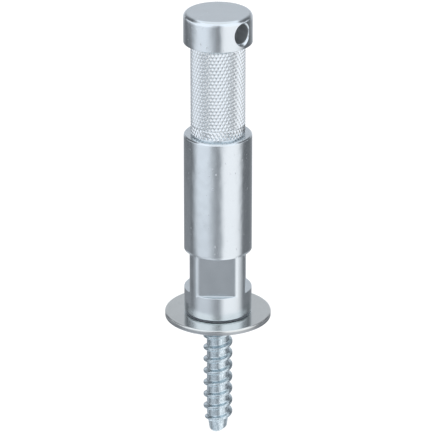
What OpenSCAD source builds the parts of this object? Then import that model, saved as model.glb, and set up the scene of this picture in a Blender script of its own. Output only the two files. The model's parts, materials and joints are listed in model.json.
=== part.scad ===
// Lighting spigot with a wood screw: a 5/8 inch pin that a lamp's socket slides over,
// with a screw at its foot that fixes it to timber.
// The pin is one turned bar: a cross-drilled head, a knurled neck, a plain barrel,
// four spanner flats and a collar. A double-ended screw stands out of its foot, and
// a wide washer is captive on the screw between the collar and the wood thread.
// The frame has +Z up along the pin and Z = 0 at the timber's surface, which is the
// washer's underside. The front spanner flat faces -Y.

/* [Pin] */
// Diameter of the head, barrel and collar
pin_d = 15.9; // [15.6:0.1:16.4]
// Height of the head
head_h = 7.25; // [6.5:0.05:9]
// Radius that rounds the head's top edge
head_round = 1.1; // [0.4:0.1:1.6]
// Height of the neck between the head and the barrel
neck_h = 22.35; // [16:0.05:30]
// Height of the full round barrel
barrel_h = 28.8; // [20:0.1:40]
// Height of the four spanner flats
flats_h = 9.85; // [8:0.05:14]
// Distance across the spanner flats
flats_af = 13; // [12.4:0.1:14]
// Height of the collar under the flats
collar_h = 5.85; // [4:0.05:8]
// Chamfer on the pin's other turned edges
edge_break = 0.3; // [0.1:0.05:0.5]

/* [Knurl] */
// Diameter over the knurl's points
knurl_d = 12.7; // [12.4:0.1:13.2]
// Depth of the knurl's grooves
knurl_depth = 0.3; // [0.15:0.05:0.4]
// Number of points round the neck
knurl_count = 43; // [32:1:52]
// Angle between the grooves and the pin's axis
knurl_angle = 30; // [25:1:40]
// Height of the plain groove at each end of the knurl
relief_h = 0.5; // [0.3:0.1:1]

/* [Cross hole] */
// Diameter of the hole through the head
cross_d = 4.5; // [3.5:0.1:5]
// Diameter of its countersink at the head's surface
cross_mouth_d = 5.6; // [5.2:0.1:6]
// Its direction round the pin, to the right of the front flat
cross_angle = 48; // [0:1:90]

/* [Washer] */
// Outer diameter of the captive washer
washer_d = 25; // [20:0.5:30]
// Thickness of the washer
washer_t = 1.2; // [1:0.05:1.6]
// Diameter of the washer's hole
washer_hole_d = 6.4; // [6.3:0.05:6.6]
// Width and depth of the chamfer on the hole's lower edge
washer_chamfer = 0.3; // [0.3:0.05:0.45]
// Play of the washer under the collar
washer_play = 0.3; // [0.2:0.1:1.5]

/* [Screw] */
// Nominal diameter of the screw's shank and machine thread
shank_d = 6; // [5.9:0.05:6.1]
// Pitch of the machine thread
machine_pitch = 1; // [0.75:0.25:1]
// Depth of the machine thread inside the pin
machine_len = 14; // [10:1:16]
// Diameter over the wood thread
wood_d = 6.9; // [6.5:0.1:6.9]
// Diameter of the wood thread's core
wood_core_d = 5.3; // [4.6:0.1:5.6]
// Pitch of the wood thread
wood_pitch = 3.08; // [2.6:0.02:3.6]
// Length of the screw below the washer
wood_len = 30.3; // [20:0.1:45]

/* [Hidden] */
$fn = 96;
EPS = 0.01;

// Heights up the pin
collar_z = washer_t + washer_play;
flats_z = collar_z + collar_h;
barrel_z = flats_z + flats_h;
neck_z = barrel_z + barrel_h;
head_z = neck_z + neck_h;
head_top = head_z + head_h;
pin_r = pin_d / 2;

// The knurl's points and groove crossings stand on a grid of half pitches, and the
// neck has two plain rings of the same columns at each end
knurl_r = knurl_d / 2;
knurl_root_r = knurl_r - knurl_depth;
relief_r = knurl_root_r - 0.1;
relief_ramp = 0.15;
neck_seat = 0.5;
knurl_cols = 2 * knurl_count;
knurl_row_aim = PI * knurl_d / knurl_count / tan(knurl_angle) / 2;
knurl_h = neck_h - 2 * (relief_h + relief_ramp);
knurl_rows = round(knurl_h / knurl_row_aim);
knurl_z = neck_z + relief_h + relief_ramp;
neck_rings = concat(
  [neck_z - neck_seat, neck_z + relief_h],
  [for (k = [0:knurl_rows]) knurl_z + knurl_h * k / knurl_rows],
  [head_z - relief_h, head_z + neck_seat]
);
neck_last = len(neck_rings) - 1;

// The cross hole's countersinks stop at a depth set by their 90 degree cone
cross_z = head_z + head_h / 2;
cross_sink = (cross_mouth_d - cross_d) / 2;

// ISO metric proportions of the machine thread, cut as rings
thread_depth = 0.6134 * machine_pitch;
thread_crest = machine_pitch / 8;
thread_root = machine_pitch / 4;
thread_flank = (machine_pitch - thread_crest - thread_root) / 2;
machine_turns = floor(machine_len / machine_pitch);
machine_z = collar_z + 0.4;
machine_top = machine_z + machine_turns * machine_pitch;
thread_gap = 0.05;
drill_r = shank_d / 2 - thread_depth + thread_gap;
drill_extra = 2;
drill_web_r = 0.3;
drill_tip_h = (drill_r - drill_web_r) / tan(59);

// The wood thread: a helix sampled at wood_cols points a turn
wood_cols = 16;
wood_step = wood_pitch / wood_cols;
wood_top = 0.2;
wood_rows = ceil((wood_len + wood_top) / wood_step);
wood_r = wood_d / 2;
wood_core_r = wood_core_d / 2;
flight_crest = 0.2;
flight_foot = 0.8;
flight_start = 2.14;
wood_gap = 0.05;
flight_ramp = 0.4;
flight_end = 2.6;
flight_fade = 1;
tip_len = 4.7;
tip_r = 1.45;

// A solid of revolution whose top and bottom edges have a 45 degree chamfer
module turned(r, z_low, z_high, c_low, c_high) {
  rotate_extrude()
    polygon([
      [0, z_low],
      [r - c_low, z_low],
      [r, z_low + c_low],
      [r, z_high - c_high],
      [r - c_high, z_high],
      [0, z_high]
    ]);
}

// The head, rounded at its top edge
module head() {
  rotate_extrude()
    union() {
      translate([0, head_z])
        square([pin_r, head_h - head_round]);
      translate([0, head_z])
        square([pin_r - head_round, head_h]);
      translate([pin_r - head_round, head_top - head_round])
        circle(head_round);
    }
}

// Distance from the axis to column i of ring k: the knurl's points are where i + k
// is odd, and its grooves cross where it is even
function neck_point_r(i, k) =
  k < 2 || k > neck_last - 2
    ? relief_r
    : (i + k) % 2 == 0 ? knurl_root_r : knurl_r;

function neck_index(i, k) = k * knurl_cols + i % knurl_cols;

// The two triangles of one cell of the knurl's grid, which meet along a groove
function neck_cell(i, k) =
  let (
    a = neck_index(i, k),
    b = neck_index(i + 1, k),
    c = neck_index(i + 1, k + 1),
    d = neck_index(i, k + 1)
  )
  (i + k) % 2 == 0
    ? [[a, c, b], [a, d, c]]
    : [[a, d, b], [b, d, c]];

// The neck with its diamond knurl, seated in the barrel and in the head
module knurled_neck() {
  points = [
    for (k = [0:neck_last], i = [0:knurl_cols - 1])
      let (r = neck_point_r(i, k), a = 360 * i / knurl_cols)
      [r * cos(a), r * sin(a), neck_rings[k]]
  ];
  sides = [
    for (k = [0:neck_last - 1], i = [0:knurl_cols - 1])
      each neck_cell(i, k)
  ];
  low_end = [for (i = [0:knurl_cols - 1]) neck_index(i, 0)];
  high_end = [for (i = [knurl_cols - 1:-1:0]) neck_index(i, neck_last)];
  polyhedron(points, concat(sides, [low_end, high_end]));
}

// Outline of the rings of machine thread, larger all over by gap
function machine_outline(gap) =
  let (
    crest_r = shank_d / 2 + gap,
    root_r = crest_r - thread_depth
  )
  [
    for (t = [0:machine_turns - 1])
      let (
        z0 = machine_z + t * machine_pitch,
        z1 = z0 + thread_root,
        z2 = z1 + thread_flank
      )
      each [
        [root_r, z0],
        [root_r, z1],
        [crest_r, z2],
        [crest_r, z2 + thread_crest]
      ],
    [root_r, machine_top]
  ];

// The tapped hole up into the pin from the collar's underside, with the drill's
// clear depth and its 118 degree point above the thread
module tapped_hole() {
  rotate_extrude()
    polygon(concat(
      [
        [0, collar_z - 1],
        [shank_d / 2 + thread_gap, collar_z - 1],
        [shank_d / 2 + thread_gap, machine_z]
      ],
      machine_outline(thread_gap),
      [
        [drill_r, machine_top + drill_extra],
        [drill_web_r, machine_top + drill_extra + drill_tip_h],
        [0, machine_top + drill_extra + drill_tip_h]
      ]
    ));
}

// The hole through the head, countersunk at both mouths
module cross_hole() {
  translate([0, 0, cross_z])
    rotate([0, 0, cross_angle])
      for (side = [0, 180])
        rotate([90, 0, side]) {
          translate([0, 0, -EPS])
            cylinder(d = cross_d, h = pin_r + 1);
          translate([0, 0, pin_r - cross_sink])
            cylinder(d1 = cross_d, d2 = cross_d + 4 * cross_sink, h = 2 * cross_sink);
        }
}

// The pin, turned from one bar
module spigot_pin() {
  color("silver")
    difference() {
      union() {
        turned(pin_r, collar_z, flats_z, edge_break, 0);
        translate([0, 0, flats_z - EPS])
          intersection() {
            cylinder(r = pin_r, h = flats_h + 2 * EPS);
            translate([-flats_af / 2, -flats_af / 2, 0])
              cube([flats_af, flats_af, flats_h + 2 * EPS]);
          }
        turned(pin_r, barrel_z, neck_z, 0, edge_break);
        knurled_neck();
        head();
      }
      tapped_hole();
      cross_hole();
    }
}

// The flat washer that turns freely round the screw's shank. The chamfer under its hole
// clears the wood thread, so only the flat ring round it bears on the timber.
module captive_washer() {
  washer_hole_r = washer_hole_d / 2;
  color("lightgrey")
    rotate_extrude()
      polygon([
        [washer_hole_r + washer_chamfer, 0],
        [washer_d / 2, 0],
        [washer_d / 2, washer_t],
        [washer_hole_r, washer_t],
        [washer_hole_r, washer_chamfer]
      ]);
}

// How far the wood thread's flight stands out at distance d from its crest line,
// from 0 at its foot to 1 along its crest
function flight_shape(d) =
  let (t = max(0, min(1, (flight_foot - abs(d)) / (flight_foot - flight_crest))))
  t * t * (3 - 2 * t);

// The flight starts just under the washer and fades out before the tip
function flight_height(z) =
  max(0, min(1, (-wood_gap - z) / flight_ramp))
  * max(0, min(1, (z + wood_len - flight_end) / flight_fade));

// The core tapers to a blunt tip
function core_r(z) =
  wood_core_r - (wood_core_r - tip_r) * max(0, (tip_len - wood_len - z) / tip_len);

// Distance from the axis to the wood thread at height z and angle a
function wood_point_r(z, a) =
  let (
    turns = (z - flight_start) / wood_pitch - a / 360,
    d = (turns - round(turns)) * wood_pitch
  )
  core_r(z) + (wood_r - wood_core_r) * flight_height(z) * flight_shape(d);

function wood_index(i, j) = j * wood_cols + i % wood_cols;

// The right-hand wood thread and its core. Each cell is split along the helix.
module wood_thread() {
  points = [
    for (j = [0:wood_rows], i = [0:wood_cols - 1])
      let (
        z = max(-wood_len, wood_top - j * wood_step),
        a = 360 * i / wood_cols,
        r = wood_point_r(z, a)
      )
      [r * cos(a), r * sin(a), z]
  ];
  sides = [
    for (j = [0:wood_rows - 1], i = [0:wood_cols - 1])
      let (
        a = wood_index(i, j),
        b = wood_index(i + 1, j),
        c = wood_index(i + 1, j + 1),
        d = wood_index(i, j + 1)
      )
      each [[a, b, d], [b, c, d]]
  ];
  top_end = [for (i = [wood_cols - 1:-1:0]) wood_index(i, 0)];
  low_end = [for (i = [0:wood_cols - 1]) wood_index(i, wood_rows)];
  polyhedron(points, concat(sides, [top_end, low_end]));
}

// The double-ended screw: a machine thread in the pin, a shank in the washer, and
// a wood thread below. The shank is undercut where the machine thread starts.
module wood_screw() {
  color("lightsteelblue")
    union() {
      rotate_extrude()
        polygon(concat(
          [
            [0, -wood_gap],
            [shank_d / 2, -wood_gap],
            [shank_d / 2, collar_z],
            [shank_d / 2 - thread_depth, collar_z]
          ],
          machine_outline(0),
          [[0, machine_top]]
        ));
      wood_thread();
    }
}

spigot_pin();
captive_washer();
wood_screw();
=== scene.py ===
"""A lighting spigot with a wood screw, in its finished look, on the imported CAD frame.

Each CAD node is replaced by one closed mesh that fills the same box, with the detail
that the plain solid leaves out: rolled knurl points, the helix of both threads, broken
edges, a torn washer rim, a sheared tip, and procedural metal finishes.
Lengths are in millimetres until they become vertices. Shaders work in metres, and so do
the heights of the lights.
"""
import json
import math

import bmesh
import bpy
import numpy as np
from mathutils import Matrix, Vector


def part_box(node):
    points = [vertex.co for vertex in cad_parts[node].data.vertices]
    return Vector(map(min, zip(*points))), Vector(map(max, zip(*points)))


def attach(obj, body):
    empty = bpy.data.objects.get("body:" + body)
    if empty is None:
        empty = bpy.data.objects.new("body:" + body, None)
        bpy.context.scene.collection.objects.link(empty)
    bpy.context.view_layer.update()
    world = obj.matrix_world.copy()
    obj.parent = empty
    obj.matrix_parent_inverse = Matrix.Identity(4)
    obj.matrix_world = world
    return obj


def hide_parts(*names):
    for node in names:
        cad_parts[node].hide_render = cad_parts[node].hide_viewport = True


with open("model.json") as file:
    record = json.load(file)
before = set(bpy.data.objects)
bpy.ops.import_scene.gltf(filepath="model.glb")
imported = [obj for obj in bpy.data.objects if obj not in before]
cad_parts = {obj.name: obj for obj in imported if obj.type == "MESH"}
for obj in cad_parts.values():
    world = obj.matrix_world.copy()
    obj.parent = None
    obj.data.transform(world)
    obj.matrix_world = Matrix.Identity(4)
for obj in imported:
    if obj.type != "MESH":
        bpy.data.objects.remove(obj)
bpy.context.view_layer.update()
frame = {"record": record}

MM = 0.001
MOUNTS = {mount["name"]: mount for mount in frame["record"]["mounts"]}


def box_mm(node):
    """A CAD node's lowest and highest corners, in millimetres."""
    low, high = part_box(node)
    return np.array(low) / MM, np.array(high) / MM


# ---------------------------------------------------------------- sizes from the frame
PIN_LOW, PIN_HIGH = box_mm("spigot_pin")
WASHER_LOW, WASHER_HIGH = box_mm("captive_washer")
SCREW_LOW, SCREW_HIGH = box_mm("wood_screw")

PIN_R = PIN_HIGH[0]
COLLAR_Z = PIN_LOW[2]
HEAD_TOP = PIN_HIGH[2]
CROSS_Z = MOUNTS["cross_hole"]["pos_m"][2] / MM
CROSS_R = MOUNTS["cross_hole"]["dims"]["r_mm"]
CROSS_WALL = MOUNTS["cross_hole"]["dims"]["length_mm"] / 2
CROSS_AXIS = np.array(MOUNTS["cross_hole"]["axis"])
HEAD_Z = 2 * CROSS_Z - HEAD_TOP
WALL_MID = MOUNTS["socket_barrel"]["pos_m"][2] / MM
WALL_LEN = MOUNTS["socket_barrel"]["dims"]["length_mm"]
FLATS_MID = MOUNTS["spanner_flats"]["pos_m"][2] / MM
FLAT_Y = abs(MOUNTS["spanner_flats"]["pos_m"][1]) / MM

# The bar's chamfer and the flats' height, which the frame doesn't state, and where they lead
EDGE_BREAK = 0.3
FLATS_H = 9.85
NECK_Z = WALL_MID + WALL_LEN / 2 + EDGE_BREAK
FLATS_Z = FLATS_MID - FLATS_H / 2
BARREL_Z = FLATS_MID + FLATS_H / 2

# The turned and milled detail
HEAD_ROUND = 1.1
HEAD_UNDER_BREAK = 0.15
HEAD_CAP_R = 1.0
FOOT_BREAK = 0.25
FOOT_CAP_R = 4.0
OUTER_ROUND = 0.2
INNER_ROUND = 0.12
LEDGE_BREAK = 0.08
FLAT_CORNER = 0.2
FLAT_DEBURR = 0.35
FLAT_ROWS = 13
CROSS_ROUND = 0.6
CUTTER_OVERRUN = 1.0

# The rolled diamond knurl, with a smooth groove at both ends. Its points are blunt, and its
# falling grooves are shallower than its rising ones, by shares of the knurl's depth.
KNURL_COUNT = 43
KNURL_PITCHES = 13
KNURL_STEPS = 8
KNURL_R = 6.35
KNURL_DEPTH = 0.32
KNURL_FALLING = 0.8
KNURL_BLUNT = 0.9
KNURL_CURVE = 1.15
KNURL_END = 0.1
KNURL_END_LEAD = 0.01
KNURL_END_SHARE = 0.3
RELIEF_R = 5.95
RELIEF_H = 0.5
FOOT_RELIEF_H = 0.15
RELIEF_RAMP = 0.15
COLUMNS = KNURL_COUNT * KNURL_STEPS

# The fainter band at the knurl's foot, whose rising grooves and points are shares of the
# full ones, and the ring that closes it
BAND_H = 2.1
BAND_RAMP = 0.25
BAND_RISING = 0.70
BAND_POINTS = 0.80
BAND_RING = 0.6
BAND_RING_W = 0.12

# The washer, with a rolled top edge, and a lower rim that is torn and burred
WASHER_COLUMNS = 360
WASHER_ROLL = 0.28
WASHER_BURR = 0.06
HOLE_PLAY = 0.2
HOLE_ROUND = 0.15
HOLE_CHAMFER = 0.3
TORN_H = 0.75
TORN_RAMP = 0.3
TORN_EDGE = 0.08
TORN_REACH = 0.1
TORN_DEPTH = 0.03
TORN_WAVES = range(2, 90)

# The screw's machine end, and the tapped and drilled hole that it fills
SHANK_R = 3.0
SHANK_ROUND = 0.05
MACHINE_PITCH = 1.0
MACHINE_DEPTH = 0.6134
MACHINE_Z = COLLAR_Z + 0.4
MACHINE_TOP = SCREW_HIGH[2]
MACHINE_RUN_IN = 0.5
MACHINE_RUN_OUT = 0.6
MACHINE_STEPS = 24
MACHINE_END_BREAK = 0.15
THREAD_GAP = 0.05
TAP_FLARE = 0.6
TAP_FLARE_H = 0.5
TAP_START = 0.12
DRILL_CLEAR = 2
DRILL_POINT = math.radians(59)
DRILL_POINT_R = 0.3

# The screw's wood end
WOOD_R = SCREW_HIGH[0]
WOOD_CORE_R = 2.65
WOOD_PITCH = 3.08
WOOD_STEPS = 48
WOOD_TOP = -0.05
FLIGHT_CREST = 0.2
FLIGHT_FOOT = 0.8
FLIGHT_START = 2.14
FLIGHT_END = 2.6
FLIGHT_FADE = 1.0
FLIGHT_RUN_IN = 0.4
TIP_LEN = 4.7
TIP_R = 1.95
TIP_CAP_R = 0.2
TIP_BREAK = 0.15
TIP_BREAK_H = 0.4
TIP_ROUND = 0.3
TIP_SLOPE = 0.42
TIP_LOWEST = 0.5
TIP_RAGGED = 0.05

HOLE_COLUMNS = 128
SCREW_COLUMNS = 96

# Steps round a rounded corner, and a small gap between the rows of neighbouring stretches
ARC_STEPS = 5
ROW_GAP = 0.02


# ---------------------------------------------------------------- mesh building
def smooth_step(t):
    """A rise from 0 to 1 as t goes from 0 to 1, level at both ends."""
    t = np.clip(t, 0.0, 1.0)
    return t * t * (3 - 2 * t)


def between(start, end, share):
    """The value that lies share of the way from start to end."""
    return start + (end - start) * share


def directions(count):
    """Evenly spaced directions round the axis, in radians."""
    return np.arange(count) * 2 * math.pi / count


def fillet(before, corner, after, radius):
    """Points of the arc that rounds a corner of an outline, or the corner itself."""
    before, corner, after = (np.array(p[:2], float) for p in (before, corner, after))
    if radius <= 0:
        return [corner]
    to_before = (before - corner) / np.linalg.norm(before - corner)
    to_after = (after - corner) / np.linalg.norm(after - corner)
    half = math.acos(float(np.clip(to_before @ to_after, -1, 1))) / 2
    reach = radius / math.tan(half)
    middle = (to_before + to_after) / np.linalg.norm(to_before + to_after)
    centre = corner + middle * radius / math.sin(half)
    start = corner + to_before * reach - centre
    end = corner + to_after * reach - centre
    turn = math.atan2(start[0] * end[1] - start[1] * end[0], float(start @ end))
    points = []
    for t in np.linspace(0, 1, ARC_STEPS + 1):
        c, s = math.cos(turn * t), math.sin(turn * t)
        points.append(centre + [start[0] * c - start[1] * s, start[0] * s + start[1] * c])
    return points


def outline(corners, step):
    """(r, z) points along straight lines between corners (r, z, fillet), at most step apart."""
    points = [np.array(corners[0][:2], float)]
    for before, corner, after in zip(corners, corners[1:], corners[2:]):
        points += fillet(before, corner, after, corner[2])
    points.append(np.array(corners[-1][:2], float))
    dense = [points[0]]
    for a, b in zip(points, points[1:]):
        parts = max(1, math.ceil(np.linalg.norm(b - a) / step))
        dense += [a + (b - a) * k / parts for k in range(1, parts + 1)]
    return np.array(dense)


def rings_of(radius, height, angles):
    """Vertices of rings, shape (rows, columns, 3), from radii and heights that broadcast."""
    radius, height, angles = np.broadcast_arrays(radius, height, angles)
    return np.stack([radius * np.cos(angles), radius * np.sin(angles), height], -1)


def grid_faces(rows, columns, wrap_rows=False):
    """Quads between neighbouring rings, facing outwards when the rings go up."""
    row = np.arange(rows if wrap_rows else rows - 1)[:, None]
    col = np.arange(columns)[None, :]
    above = (row + 1) % rows
    right = (col + 1) % columns
    quads = np.stack([
        row * columns + col,
        row * columns + right,
        above * columns + right,
        above * columns + col,
    ], -1)
    return quads.reshape(-1, 4).tolist()


def mesh_object(name, vertices, faces):
    """A mesh object in the scene, from vertices in millimetres."""
    mesh = bpy.data.meshes.new(name)
    mesh.from_pydata((np.asarray(vertices) * MM).tolist(), [], faces)
    mesh.update()
    obj = bpy.data.objects.new(name, mesh)
    bpy.context.scene.collection.objects.link(obj)
    return obj


def capped_grid(name, rings):
    """A closed mesh from rings that go up, with a fan of triangles over each end."""
    rows, columns = rings.shape[:2]
    vertices = np.concatenate([
        rings.reshape(-1, 3),
        rings[:1].mean(1),
        rings[-1:].mean(1),
    ])
    low, high = rows * columns, rows * columns + 1
    last = (rows - 1) * columns
    faces = grid_faces(rows, columns)
    for i in range(columns):
        j = (i + 1) % columns
        faces.append([low, j, i])
        faces.append([high, last + i, last + j])
    return mesh_object(name, vertices, faces)


def clean_up(obj, merge=1e-4):
    """Merges points that coincide and drops the faces that this empties."""
    bm = bmesh.new()
    bm.from_mesh(obj.data)
    bmesh.ops.remove_doubles(bm, verts=bm.verts, dist=merge * MM)
    bmesh.ops.dissolve_degenerate(bm, edges=bm.edges, dist=merge * MM)
    bm.to_mesh(obj.data)
    bm.free()


def cut(obj, cutter):
    """Takes the closed mesh cutter out of the closed mesh obj."""
    modifier = obj.modifiers.new("cut", "BOOLEAN")
    modifier.operation = "DIFFERENCE"
    modifier.solver = "MANIFOLD"
    modifier.object = cutter
    bpy.context.view_layer.update()
    graph = bpy.context.evaluated_depsgraph_get()
    result = bpy.data.meshes.new_from_object(obj.evaluated_get(graph))
    obj.modifiers.clear()
    obj.data = result
    bpy.data.objects.remove(cutter)


def shade(obj, angle):
    """Smooth shading that stays sharp at edges over angle degrees."""
    obj.data.shade_smooth()
    obj.data.set_sharp_from_angle(angle=math.radians(angle))


# ---------------------------------------------------------------- the pin
def flat_angles():
    """The pin's columns, shifted a little so that one stands on each corner of a flat."""
    corner = math.acos(FLAT_Y / PIN_R)
    quarter = math.pi / 2
    even = directions(COLUMNS)
    from_flat = (even + quarter / 2) % quarter - quarter / 2
    spacing = 2 * math.pi / COLUMNS
    nearest = np.round((corner - np.abs(from_flat)) / spacing)
    shift = np.where(nearest == 0, corner - np.abs(from_flat), 0.0)
    return even + np.sign(from_flat) * shift


def flat_plan(angles):
    """Distance from the axis to the square of spanner flats, its edges with the bar deburred."""
    across = np.maximum(np.abs(np.cos(angles)), np.abs(np.sin(angles)))
    flat = FLAT_Y / across
    overlap = np.maximum(FLAT_DEBURR - np.abs(flat - PIN_R), 0) / FLAT_DEBURR
    return np.minimum(flat, PIN_R) - overlap**2 * FLAT_DEBURR / 4


def foot_rings():
    """The collar, the spanner flats and the barrel, from the bottom up."""
    angles = flat_angles()
    plan = flat_plan(angles)
    ledge = np.maximum(plan, PIN_R - LEDGE_BREAK)
    collar = outline([
        (FOOT_CAP_R, COLLAR_Z, 0),
        (PIN_R - FOOT_BREAK, COLLAR_Z, OUTER_ROUND),
        (PIN_R, COLLAR_Z + FOOT_BREAK, OUTER_ROUND),
        (PIN_R, FLATS_Z - LEDGE_BREAK, 0),
    ], step=0.5)
    rings = [rings_of(r, z, angles) for r, z in collar]
    rings.append(rings_of(ledge, FLATS_Z, angles))
    for t in np.linspace(0, math.pi / 2, ARC_STEPS + 1):
        r = np.minimum(plan + FLAT_CORNER * (1 - math.sin(t)), PIN_R - LEDGE_BREAK)
        z = FLATS_Z + FLAT_CORNER * (1 - math.cos(t))
        rings.append(rings_of(np.maximum(r, plan), z, angles))
    for z in np.linspace(FLATS_Z + FLAT_CORNER, BARREL_Z, FLAT_ROWS + 1)[1:]:
        rings.append(rings_of(plan, z, angles))
    rings.append(rings_of(ledge, BARREL_Z, angles))
    barrel = outline([
        (PIN_R, BARREL_Z + LEDGE_BREAK, 0),
        (PIN_R, NECK_Z - EDGE_BREAK, OUTER_ROUND),
        (PIN_R - EDGE_BREAK, NECK_Z, OUTER_ROUND / 2),
        (RELIEF_R, NECK_Z, INNER_ROUND),
        (RELIEF_R, NECK_Z + FOOT_RELIEF_H, 0),
    ], step=0.5)
    even = directions(COLUMNS)
    for r, z in barrel:
        share = smooth_step((z - BARREL_Z) / (NECK_Z - BARREL_Z))
        rings.append(rings_of(r, z, angles + (even - angles) * share))
    return rings


def groove(phase):
    """Height between V grooves: 0 in a groove, where phase is whole, and 1 halfway."""
    return 1 - np.abs(2 * (phase - np.floor(phase)) - 1)


def deepened(height, depth):
    """The same grooves depth times as deep, measured down from the points between them."""
    return 1 - (1 - height) * depth


def knurl_rings():
    """The neck's rolled diamond knurl. In a band at its foot one family of grooves fades."""
    low = NECK_Z + FOOT_RELIEF_H + RELIEF_RAMP
    high = HEAD_Z - RELIEF_H - RELIEF_RAMP
    z = np.linspace(low, high, KNURL_PITCHES * 2 * KNURL_STEPS + 1)[:, None]
    angles = directions(COLUMNS)[None, :]
    up = (z - low) / (high - low) * KNURL_PITCHES
    around = angles / (2 * math.pi) * KNURL_COUNT
    over_band = z - low - BAND_H
    full = smooth_step(over_band / BAND_RAMP)
    rising = deepened(groove(around - up), between(BAND_RISING, 1, full))
    falling = deepened(groove(around + up), between(1, KNURL_FALLING, full))
    points = np.minimum(np.minimum(rising, falling) / KNURL_BLUNT, 1)
    points = deepened(points, between(BAND_POINTS, 1, full))
    points = points * (1 - BAND_RING * np.exp(-(over_band / BAND_RING_W) ** 2))
    radius = KNURL_R - KNURL_DEPTH * (1 - points) ** KNURL_CURVE
    from_end = np.minimum(z - low, high - z) + KNURL_END_LEAD
    share = between(KNURL_END_SHARE, 1, smooth_step(from_end / KNURL_END))
    return list(rings_of(between(RELIEF_R, radius, share), z, angles))


def head_rings():
    """The head, from the groove under it to its top face."""
    head = outline([
        (RELIEF_R, HEAD_Z - RELIEF_H, 0),
        (RELIEF_R, HEAD_Z, INNER_ROUND),
        (PIN_R - HEAD_UNDER_BREAK, HEAD_Z, HEAD_UNDER_BREAK / 3),
        (PIN_R, HEAD_Z + HEAD_UNDER_BREAK, HEAD_UNDER_BREAK / 3),
        (PIN_R, HEAD_TOP, HEAD_ROUND),
        (HEAD_CAP_R, HEAD_TOP, 0),
    ], step=0.25)
    return [rings_of(r, z, directions(COLUMNS)) for r, z in head]


def cross_cutter():
    """The cross hole, countersunk at both mouths, as a solid along its own axis."""
    angles = directions(HOLE_COLUMNS)
    reach = PIN_R + CUTTER_OVERRUN
    flare = CROSS_R + reach - CROSS_WALL
    half = outline([
        (CROSS_R, 0, 0),
        (CROSS_R, CROSS_WALL, CROSS_ROUND),
        (flare, reach, 0),
    ], step=0.5)
    profile = np.concatenate([(half * [1, -1])[::-1][:-1], half])
    rings = np.stack([rings_of(r, along, angles) for r, along in profile])
    axis = CROSS_AXIS / np.linalg.norm(CROSS_AXIS)
    up = np.array([0.0, 0.0, 1.0])
    side = np.cross(up, axis)
    placed = rings @ np.stack([side, up, axis]) + CROSS_Z * up
    return capped_grid("cross_cutter", placed)


def from_crest(z, angles, pitch, start=0.0):
    """Height above the nearest crest of a right-hand helix that crosses +X at height start."""
    turns = (z[:, None] - start) / pitch - angles[None, :] / (2 * math.pi)
    return (turns - np.round(turns)) * pitch


def machine_radius(z, angles, gap):
    """The ISO M6 thread, its crest an eighth of the pitch wide, larger all over by gap.

    It fades at both ends.
    """
    flank = MACHINE_PITCH * 5 / 16
    to_foot = MACHINE_PITCH / 16 + flank - np.abs(from_crest(z, angles, MACHINE_PITCH))
    run_in = smooth_step((z - MACHINE_Z) / MACHINE_RUN_IN)
    run_out = smooth_step((MACHINE_TOP - z) / MACHINE_RUN_OUT)
    height = MACHINE_DEPTH * np.clip(to_foot / flank, 0, 1)
    return SHANK_R + gap - MACHINE_DEPTH + height * (run_in * run_out)[:, None]


def tapped_cutter():
    """The tapped blind hole, with the drill's clear depth and point above the thread."""
    angles = directions(SCREW_COLUMNS)
    mouth = outline([
        (SHANK_R + TAP_FLARE, COLLAR_Z - TAP_FLARE_H, 0),
        (SHANK_R + TAP_FLARE, COLLAR_Z - ROW_GAP, 0),
        (SHANK_R + THREAD_GAP, COLLAR_Z + TAP_FLARE_H, 0),
    ], step=0.3)
    rings = [rings_of(r, z, angles) for r, z in mouth]
    z = np.arange(MACHINE_Z + TAP_START, MACHINE_TOP, MACHINE_PITCH / MACHINE_STEPS)
    rings += list(rings_of(machine_radius(z, angles, THREAD_GAP), z[:, None], angles[None, :]))
    drill_r = SHANK_R - MACHINE_DEPTH + THREAD_GAP
    drill_top = MACHINE_TOP + DRILL_CLEAR
    point = outline([
        (drill_r, MACHINE_TOP + THREAD_GAP, 0),
        (drill_r, drill_top, 0),
        (DRILL_POINT_R, drill_top + (drill_r - DRILL_POINT_R) / math.tan(DRILL_POINT), 0),
    ], step=0.5)
    rings += [rings_of(r, z, angles) for r, z in point]
    return capped_grid("tapped_cutter", np.stack(rings))


def spigot_pin():
    """The pin as one closed mesh."""
    rings = foot_rings() + knurl_rings() + head_rings()
    pin = capped_grid("turned_pin", np.stack(rings))
    clean_up(pin)
    cut(pin, cross_cutter())
    cut(pin, tapped_cutter())
    shade(pin, angle=28)
    return pin


# ---------------------------------------------------------------- the washer
def captive_washer():
    """A stamped washer: rolled over at its top edge, torn and burred at its lower one."""
    angles = directions(WASHER_COLUMNS)
    outer = WASHER_HIGH[0]
    inner = SHANK_R + HOLE_PLAY
    middle = (outer + inner) / 2
    top, low = WASHER_HIGH[2], WASHER_LOW[2]
    loop = outline([
        (middle, low, 0),
        (outer, low, WASHER_BURR),
        (outer, top, WASHER_ROLL),
        (inner, top, HOLE_ROUND),
        (inner, low + HOLE_CHAMFER, 0),
        (inner + HOLE_CHAMFER, low, 0),
        (middle - ROW_GAP / 2, low, 0),
    ], step=0.15)
    rng = np.random.default_rng(seed=5)
    wave = sum(
        rng.normal() * np.cos(k * angles + rng.uniform(0, 2 * math.pi)) / k**0.5
        for k in TORN_WAVES
    )
    wave = wave / np.abs(wave).max()
    rings = []
    for r, z in loop:
        torn = smooth_step((low + TORN_H - z) / TORN_RAMP) * smooth_step((z - low) / TORN_EDGE)
        at_rim = smooth_step((r - outer + TORN_REACH) / TORN_EDGE)
        depth = TORN_DEPTH * (1 + (wave + 1) / 2) * torn * at_rim
        rings.append(rings_of(r - depth, z, angles))
    vertices = np.concatenate(rings)
    faces = grid_faces(len(rings), WASHER_COLUMNS, wrap_rows=True)
    washer = mesh_object("stamped_washer", vertices, faces)
    clean_up(washer)
    shade(washer, angle=40)
    return washer


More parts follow.
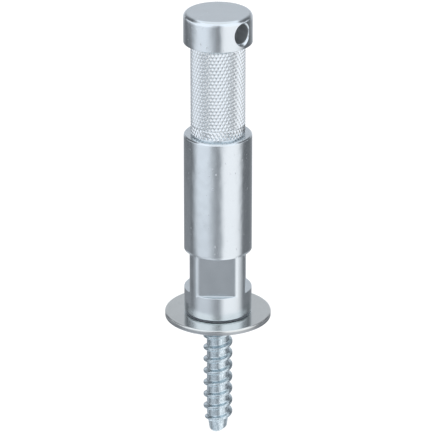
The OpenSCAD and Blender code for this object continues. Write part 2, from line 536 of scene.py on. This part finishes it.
# ---------------------------------------------------------------- the screw
def wood_radius(z, angles):
    """The wood thread, which starts under the washer and fades before the tip.

    Its flight is rounded from its foot to its crest.
    """
    low = SCREW_LOW[2]
    to_foot = FLIGHT_FOOT - np.abs(from_crest(z, angles, WOOD_PITCH, FLIGHT_START))
    flight = smooth_step(to_foot / (FLIGHT_FOOT - FLIGHT_CREST))
    start = np.clip((WOOD_TOP - z) / FLIGHT_RUN_IN, 0, 1)
    fade = np.clip((z - low - FLIGHT_END) / FLIGHT_FADE, 0, 1)
    core = between(WOOD_CORE_R, TIP_R, np.clip((TIP_LEN + low - z) / TIP_LEN, 0, 1))
    height = (WOOD_R - WOOD_CORE_R) * start * fade
    return core[:, None] + height[:, None] * flight


def wood_screw():
    """The double-ended screw as one closed mesh."""
    angles = directions(SCREW_COLUMNS)
    low = SCREW_LOW[2]
    tip = outline([
        (TIP_CAP_R, low, 0),
        (TIP_R - TIP_BREAK, low, TIP_ROUND),
        (TIP_R, low + TIP_BREAK_H, 0),
    ], step=0.15)
    rings = [rings_of(r, z, angles) for r, z in tip[:-1]]
    z = np.arange(low + TIP_BREAK_H, WOOD_TOP - ROW_GAP, WOOD_PITCH / WOOD_STEPS)
    rings += list(rings_of(wood_radius(z, angles), z[:, None], angles[None, :]))
    shank = outline([
        (WOOD_CORE_R, WOOD_TOP, 0),
        (SHANK_R, WOOD_TOP, SHANK_ROUND),
        (SHANK_R, COLLAR_Z, SHANK_ROUND),
        (SHANK_R - MACHINE_DEPTH, MACHINE_Z, 0),
    ], step=0.4)
    rings += [rings_of(r, z, angles) for r, z in shank]
    z = np.arange(MACHINE_Z + 2 * ROW_GAP, MACHINE_TOP - ROW_GAP, MACHINE_PITCH / MACHINE_STEPS)
    rings += list(rings_of(machine_radius(z, angles, 0), z[:, None], angles[None, :]))
    rings.append(rings_of(SHANK_R - MACHINE_DEPTH - MACHINE_END_BREAK, MACHINE_TOP, angles))
    rings = np.stack(rings)
    lean = np.maximum(TIP_SLOPE * (rings[..., 0] + TIP_LOWEST), 0)
    ragged = TIP_RAGGED * np.sin(5 * rings[..., 0] + 1) * np.cos(4 * rings[..., 1])
    sheared = low + lean + np.where(lean > 0, np.abs(ragged), 0)
    near_tip = rings[..., 2] < low + TIP_LEN
    rings[..., 2] = np.where(near_tip, np.maximum(rings[..., 2], sheared), rings[..., 2])
    screw = capped_grid("hanger_screw", rings)
    clean_up(screw)
    shade(screw, angle=40)
    return screw


# ---------------------------------------------------------------- materials
# The colour sockets of a Mix node, which share their names with its other sockets
MIX_A, MIX_B, MIX_RESULT = 6, 7, 2


class Nodes:
    """A small helper that adds nodes to one material's tree."""

    def __init__(self, name, metallic=0.0):
        self.material = bpy.data.materials.new(name)
        self.material.use_nodes = True
        self.tree = self.material.node_tree
        self.shader = self.tree.nodes["Principled BSDF"]
        self.shader.inputs["Metallic"].default_value = metallic

    def put(self, node, inputs):
        """Sets a node's inputs, each to a value or to the socket that drives it."""
        for key, value in inputs.items():
            if isinstance(value, bpy.types.NodeSocket):
                self.tree.links.new(value, node.inputs[key])
            else:
                node.inputs[key].default_value = value

    def add(self, kind, inputs, **settings):
        node = self.tree.nodes.new(kind)
        for key, value in settings.items():
            setattr(node, key, value)
        self.put(node, inputs)
        return node

    def place(self, scale=(1, 1, 1)):
        """Object coordinates, in metres, scaled by three numbers."""
        coordinates = self.tree.nodes.new("ShaderNodeTexCoord").outputs["Object"]
        mapping = self.add("ShaderNodeMapping", {"Vector": coordinates, "Scale": scale})
        return mapping.outputs["Vector"]

    def along(self):
        """The three object coordinates, one by one."""
        return self.add("ShaderNodeSeparateXYZ", {"Vector": self.place()}).outputs

    def from_axis(self):
        """Distance from the object's Z axis."""
        return self.vector_maths("LENGTH", self.place((1, 1, 0))).outputs["Value"]

    def vector_maths(self, operation, *vectors):
        return self.add("ShaderNodeVectorMath", dict(enumerate(vectors)), operation=operation)

    def maths(self, operation, *values):
        return self.add("ShaderNodeMath", dict(enumerate(values)), operation=operation).outputs[0]

    def times(self, first, *others):
        """The product of values, of which one at least is a socket."""
        for other in others:
            first = self.maths("MULTIPLY", first, other)
        return first

    def plus(self, first, *others):
        """The sum of values, of which one at least is a socket."""
        for other in others:
            first = self.maths("ADD", first, other)
        return first

    def noise(self, scale, detail, roughness=0.5):
        return self.add("ShaderNodeTexNoise", {
            "Vector": self.place(scale),
            "Scale": 1.0,
            "Detail": detail,
            "Roughness": roughness,
        }).outputs["Fac"]

    def ramp(self, factor, low, high, out_low=0.0, out_high=1.0, shape="LINEAR"):
        """Takes low to out_low and high to out_high, and is level beyond them."""
        return self.add("ShaderNodeMapRange", {
            "Value": factor,
            "From Min": low,
            "From Max": high,
            "To Min": out_low,
            "To Max": out_high,
        }, interpolation_type=shape).outputs["Result"]

    def rise(self, value, start, end, out_low=0.0, out_high=1.0):
        """A smooth ramp, from 0 to 1 unless told otherwise."""
        return self.ramp(value, start, end, out_low, out_high, "SMOOTHSTEP")

    def fall(self, value, start, end):
        """A smooth ramp from 1 to 0."""
        return self.rise(value, start, end, 1.0, 0.0)

    def window(self, value, start, full, fading, end):
        """1 between full and fading, and 0 before start and after end."""
        return self.times(self.rise(value, start, full), self.fall(value, fading, end))

    def blend(self, factor, colour, other):
        """A colour from colour to other, of which each is a socket or three numbers."""
        a, b = (c if isinstance(c, bpy.types.NodeSocket) else (*c, 1) for c in (colour, other))
        inputs = {"Factor": factor, MIX_A: a, MIX_B: b}
        return self.add("ShaderNodeMix", inputs, data_type="RGBA").outputs[MIX_RESULT]

    def bump(self, height, strength, depth, normal=None):
        """A bump depth millimetres deep, laid over another one's normal."""
        inputs = {"Height": height, "Strength": strength, "Distance": depth * MM}
        if normal is not None:
            inputs["Normal"] = normal
        return self.add("ShaderNodeBump", inputs).outputs["Normal"]

    def finish(self, colour, roughness, normal):
        """The material, its shader driven by three sockets."""
        looks = {"Base Color": colour, "Roughness": roughness, "Normal": normal}
        self.put(self.shader, looks)
        return self.material


def turned_steel():
    """Bright turned steel, duller in the neck and in the cross hole.

    Fine tool rings run round the pin, and its barrel wavers and has a few nicks.
    """
    n = Nodes("turned_steel", metallic=1.0)
    rings = n.noise((60, 60, 14000), detail=3, roughness=0.6)
    broad = n.noise((90, 90, 1100), detail=2)
    cloud = n.noise((420, 420, 260), detail=3)
    height = n.along()["Z"]
    colour = n.blend(cloud, (0.712, 0.766, 0.797), (0.752, 0.806, 0.836))
    roughness = n.ramp(cloud, 0.3, 0.7, 0.19, 0.24)

    in_neck = n.times(
        n.ramp(height, NECK_Z * MM, (NECK_Z + 0.3) * MM),
        n.ramp(height, HEAD_Z * MM, (HEAD_Z - 0.3) * MM),
    )
    colour = n.blend(n.times(in_neck, 0.75), colour, (0.765, 0.798, 0.815))
    roughness = n.plus(roughness, n.times(in_neck, 0.02))

    from_hole = n.vector_maths("SUBTRACT", n.place(), (0, 0, CROSS_Z * MM)).outputs["Vector"]
    off_axis = n.vector_maths("CROSS_PRODUCT", from_hole, tuple(CROSS_AXIS)).outputs["Vector"]
    off_axis = n.vector_maths("LENGTH", off_axis).outputs["Value"]
    drilled = n.ramp(off_axis, (CROSS_R + 0.06) * MM, (CROSS_R + 0.02) * MM)
    colour = n.blend(drilled, colour, (0.70, 0.72, 0.73))
    roughness = n.plus(roughness, n.times(drilled, 0.25))

    on_barrel = n.ramp(height, BARREL_Z * MM, (BARREL_Z + 0.5) * MM)
    nicks = n.times(n.ramp(n.noise((1500, 1500, 1100), detail=2), 0.69, 0.75), on_barrel)
    waver = n.times(n.noise((190, 190, 120), detail=2), on_barrel)
    roughness = n.plus(roughness, n.times(nicks, 0.10))

    normal = n.bump(rings, strength=0.10, depth=0.02)
    normal = n.bump(broad, strength=0.05, depth=0.06, normal=normal)
    normal = n.bump(waver, strength=0.60, depth=0.30, normal=normal)
    normal = n.bump(nicks, strength=0.45, depth=0.05, normal=normal)
    return n.finish(colour, roughness, normal)


def washer_steel():
    """Bright barrelled steel, smoother than the pin, a shade warmer.

    Its torn rim is dull, and under the pin's collar a grey, less metallic patch is painted shade
    that lightens the gap.
    """
    n = Nodes("washer_steel", metallic=1.0)
    cloud = n.noise((300, 300, 300), detail=3)
    scuffs = n.noise((2500, 500, 900), detail=4, roughness=0.7)
    colour = n.blend(cloud, (0.710, 0.738, 0.728), (0.770, 0.797, 0.786))
    roughness = n.ramp(scuffs, 0.3, 0.7, 0.12, 0.19)

    rim = WASHER_HIGH[0] - 0.15
    at_rim = n.ramp(n.from_axis(), rim * MM, (rim + TORN_EDGE) * MM)
    below = n.ramp(n.along()["Z"], (TORN_H + 0.1) * MM, (TORN_H - 0.15) * MM)
    torn = n.times(at_rim, below)
    colour = n.blend(torn, colour, (0.44, 0.465, 0.48))
    roughness = n.plus(roughness, n.times(torn, 0.25))

    # Painted shade: a grey, less metallic patch where the collar covers the washer, which
    # lightens the gap between them
    covered = PIN_R - 0.12
    painted_gap_shade = n.ramp(n.from_axis(), covered * MM, (covered - 0.08) * MM)
    colour = n.blend(painted_gap_shade, colour, (0.46, 0.49, 0.53))
    roughness = n.plus(roughness, n.times(painted_gap_shade, 0.4))
    n.put(n.shader, {"Metallic": n.ramp(painted_gap_shade, 0.0, 1.0, 1.0, 0.25)})

    return n.finish(colour, roughness, n.bump(scuffs, strength=0.06, depth=0.03))


def zinc_steel():
    """Bright zinc over a rolled thread: faintly blue, with a soft uneven grain."""
    n = Nodes("zinc_steel", metallic=1.0)
    cloud = n.noise((700, 700, 500), detail=3)
    mottle = n.noise((2300, 2300, 1500), detail=4, roughness=0.7)
    grain = n.noise((5200, 5200, 3600), detail=3, roughness=0.65)
    colour = n.blend(n.ramp(mottle, 0.36, 0.64), (0.45, 0.54, 0.585), (0.77, 0.87, 0.92))
    roughness = n.ramp(mottle, 0.3, 0.7, 0.27, 0.15)
    normal = n.bump(cloud, strength=0.25, depth=0.12)
    normal = n.bump(mottle, strength=0.30, depth=0.10, normal=normal)
    normal = n.bump(grain, strength=0.30, depth=0.03, normal=normal)
    return n.finish(colour, roughness, normal)


# ---------------------------------------------------------------- the studio
ROOM_COLUMNS = 96

# The floor and its backdrop are one bowl
FLOOR_Z = SCREW_LOW[2]
FLOOR_CENTRE_R = 20
FLOOR_LOOK = {
    "Base Color": (0.2, 0.2, 0.2, 1),
    "Roughness": 0.9,
    "Emission Color": (1, 1, 1, 1),
    "Emission Strength": 0.93,
}
BOWL_R = 2400
BOWL_H = 2400
BOWL_CURVE = 900


def pale_floor():
    """A pale floor that curves up into a backdrop all round. Only the camera sees it."""
    profile = outline([
        (FLOOR_CENTRE_R, FLOOR_Z, 0),
        (BOWL_R, FLOOR_Z, BOWL_CURVE),
        (BOWL_R, FLOOR_Z + BOWL_H, 0),
    ], step=250)
    rings = [rings_of(r, z, directions(ROOM_COLUMNS)) for r, z in profile]
    centre = len(rings) * ROOM_COLUMNS
    faces = [face[::-1] for face in grid_faces(len(rings), ROOM_COLUMNS)]
    faces += [[centre, i, (i + 1) % ROOM_COLUMNS] for i in range(ROOM_COLUMNS)]
    floor = mesh_object("pale_floor", np.concatenate([*rings, [[0, 0, FLOOR_Z]]]), faces)
    floor.data.shade_smooth()
    n = Nodes("pale_floor")
    n.put(n.shader, FLOOR_LOOK)
    floor.data.materials.append(n.material)
    floor.visible_glossy = False
    floor.visible_diffuse = False
    floor.visible_shadow = False


# The tent's size in millimetres, and its light
TENT_R = 350
TENT_LOW, TENT_HIGH = -500, 700
TENT_ROWS = 9
TENT_GLOW = 0.14
TENT_LIMIT = 1.18
COOL_LIGHT = (0.965, 1.0, 1.065)
WARM_LIGHT = (1.005, 1.0, 1.02)


def light_tent():
    """A tube of light round the object: two tall softboxes, a bright back and dark sides.

    Azimuths are in degrees from the front, positive to the right, and heights in metres.
    A vertical wall of the object reflects the tent lower than itself, and a flat top
    reflects its back. The last factor of each light is its strength.
    """
    heights = np.linspace(TENT_LOW, TENT_HIGH, TENT_ROWS)
    rings = [rings_of(TENT_R, z, directions(ROOM_COLUMNS)) for z in heights]
    faces = grid_faces(TENT_ROWS, ROOM_COLUMNS)
    tent = mesh_object("light_tent", np.concatenate(rings), faces)

    n = Nodes("light_tent")
    times, plus, rise, fall, window = n.times, n.plus, n.rise, n.fall, n.window
    x, y, height = n.along()
    azimuth = times(n.maths("ARCTAN2", x, times(y, -1.0)), 180 / math.pi)
    off_front = n.maths("ABSOLUTE", azimuth)

    # The two softboxes, dimmer towards their feet and brighter in their upper half
    right_box = window(azimuth, 4, 25, 75, 101)
    left_box = window(azimuth, -101, -64, -37, 1)
    right_fall = rise(height, -0.20, -0.05, 0.84, 1.0)
    left_fall = rise(height, -0.18, -0.085, 0.28, 1.0)
    low_side = times(fall(height, -0.175, -0.15), rise(azimuth, 45, 85), -0.30)
    raised = rise(height, -0.02, 0.10)
    softboxes = plus(
        times(right_box, right_fall, plus(low_side, 1.0), 0.78),
        times(left_box, left_fall, 0.645),
        times(left_box, raised, 0.44),
        times(right_box, raised, 0.24),
    )

    # The front, between and above the softboxes
    low_front = fall(height, 0.04, 0.10)
    front = fall(off_front, 60, 95)
    middle = fall(off_front, 20, 45)
    fronts = plus(
        times(front, low_front, rise(height, -0.10, -0.075, 0.225, 0.15)),
        times(fall(off_front, 45, 80), rise(height, 0.16, 0.30), 0.62),
        times(middle, rise(height, 0.02, 0.12), 0.14),
    )

    # The back, which the flat tops reflect, a level band round it, and the tent's two ends
    level = window(height, -0.07, -0.01, 0.11, 0.17)
    backs = plus(
        times(rise(off_front, 122, 178), rise(height, 0.13, 0.21, 0.50, 0.90), 0.58),
        times(rise(off_front, 122, 150), level, 0.38),
        times(window(azimuth, -125, -112, -80, -60), level, 0.30),
        times(rise(height, 0.40, 0.56), 0.95),
        times(fall(height, -0.42, -0.33), 0.80),
    )

    # Lights at the height that the knurl's points reflect
    neck_level = window(height, 0.03, 0.09, 0.132, 0.152)
    neck = plus(
        times(window(azimuth, -126, -112, -90, -72), neck_level, 0.75),
        times(window(azimuth, 76, 94, 112, 126), neck_level, 0.85),
        times(window(azimuth, -36, -18, -6, 6), neck_level, 0.45),
    )

    # Low lights that the screw and the pin's foot reflect, and a shade in front of them
    screw_level = fall(height, -0.184, -0.166)
    screw_gap = times(fall(off_front, 8, 22), fall(height, -0.174, -0.161))
    foot_level = fall(height, -0.11, -0.08)
    low = plus(
        times(screw_level, 0.10),
        times(window(off_front, 95, 115, 160, 178), screw_level, 0.20),
        times(screw_gap, -0.09),
        times(window(azimuth, -150, -125, -108, -95), foot_level, 0.14),
        times(window(azimuth, 95, 108, 125, 150), foot_level, 0.05),
    )

    radiance = plus(softboxes, fronts, backs, neck, low, TENT_GLOW)
    warm_top = times(front, window(height, 0.12, 0.14, 0.16, 0.18))
    warmth = plus(times(right_box, low_front), warm_top)
    glow = n.add("ShaderNodeEmission", {
        "Color": n.blend(warmth, COOL_LIGHT, WARM_LIGHT),
        "Strength": n.maths("MINIMUM", radiance, TENT_LIMIT),
    }).outputs["Emission"]
    n.tree.nodes.remove(n.shader)
    n.put(n.tree.nodes["Material Output"], {"Surface": glow})
    tent.data.materials.append(n.material)
    tent.visible_camera = False
    tent.visible_shadow = False


SKY_COLOUR = (0.97, 1.0, 1.03, 1)
SKY_STRENGTH = 0.98


def studio_sky():
    """Even light from above and below the tent."""
    world = bpy.data.worlds.new("studio")
    bpy.context.scene.world = world
    world.use_nodes = True
    background = world.node_tree.nodes["Background"]
    background.inputs["Color"].default_value = SKY_COLOUR
    background.inputs["Strength"].default_value = SKY_STRENGTH


# The camera stands a little to the right of the front flat and looks down. Its places are
# in metres, its lens and sensor in millimetres.
CAMERA_TARGET_Z = 0.02445
CAMERA_DISTANCE = 0.77042
CAMERA_ELEVATION = math.radians(22.9)
CAMERA_AZIMUTH = math.radians(2.0)
CAMERA_LENS = 271.4
CAMERA_SENSOR = 36
CAMERA_SHIFT = 0.0013
CAMERA_CLIP = (0.05, 20)


def camera():
    """The camera, aimed at a point on the pin's axis and shifted a little sideways."""
    data = bpy.data.cameras.new("camera")
    data.lens = CAMERA_LENS
    data.sensor_width = CAMERA_SENSOR
    data.shift_x = CAMERA_SHIFT
    data.clip_start, data.clip_end = CAMERA_CLIP
    obj = bpy.data.objects.new("camera", data)
    bpy.context.scene.collection.objects.link(obj)
    flat = CAMERA_DISTANCE * math.cos(CAMERA_ELEVATION)
    obj.location = (
        flat * math.sin(CAMERA_AZIMUTH),
        -flat * math.cos(CAMERA_AZIMUTH),
        CAMERA_TARGET_Z + CAMERA_DISTANCE * math.sin(CAMERA_ELEVATION),
    )
    obj.rotation_euler = (math.pi / 2 - CAMERA_ELEVATION, 0, CAMERA_AZIMUTH)
    bpy.context.scene.camera = obj


# ---------------------------------------------------------------- assembly
bpy.context.scene.view_settings.view_transform = "Standard"
camera()
studio_sky()
light_tent()
pale_floor()

for piece, material, body, node, slot in (
    (spigot_pin(), turned_steel(), "pin_and_screw", "spigot_pin", "pin_steel"),
    (captive_washer(), washer_steel(), "washer", "captive_washer", "washer_steel"),
    (wood_screw(), zinc_steel(), "pin_and_screw", "wood_screw", "screw_zinc"),
):
    piece.data.materials.clear()
    piece.data.materials.append(material)
    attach(piece, body)
    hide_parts(node)
